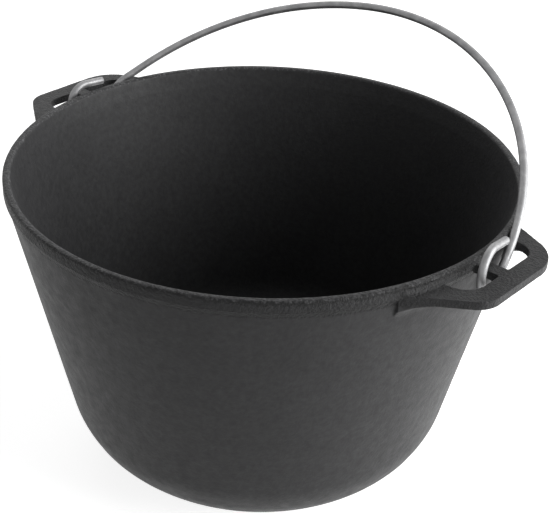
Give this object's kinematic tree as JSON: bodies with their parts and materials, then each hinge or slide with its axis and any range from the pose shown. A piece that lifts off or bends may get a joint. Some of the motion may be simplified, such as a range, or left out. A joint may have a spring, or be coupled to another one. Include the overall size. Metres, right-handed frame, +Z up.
{
  "type": "cast iron cauldron",
  "caption": "Round cast iron cauldron with a tapered bowl, a slotted lug on each side of the rim and a steel wire bail that swings over the mouth.",
  "frame": {"origin": "middle of the flat base, on the floor", "axes": "+Z up, X along the line through the two lugs with lug_right on +X, +Y to the side the bail leans to at rest"},
  "size_m": [0.3752, 0.3208, 0.2699],
  "materials": {
    "cast_iron": "satin",
    "zinc_wire": "satin"
  },
  "bodies": {
    "pot": {"pot": "cast_iron", "lug_left": "cast_iron", "lug_right": "cast_iron"},
    "bail": {"bail": "zinc_wire"}
  },
  "joints": [
    {"name": "bail_swing", "type": "hinge", "parent": "pot", "child": "bail", "pos_m": [0, 0, 0.19585], "axis": [1, 0, 0], "range_deg": [0, 110]}
  ]
}
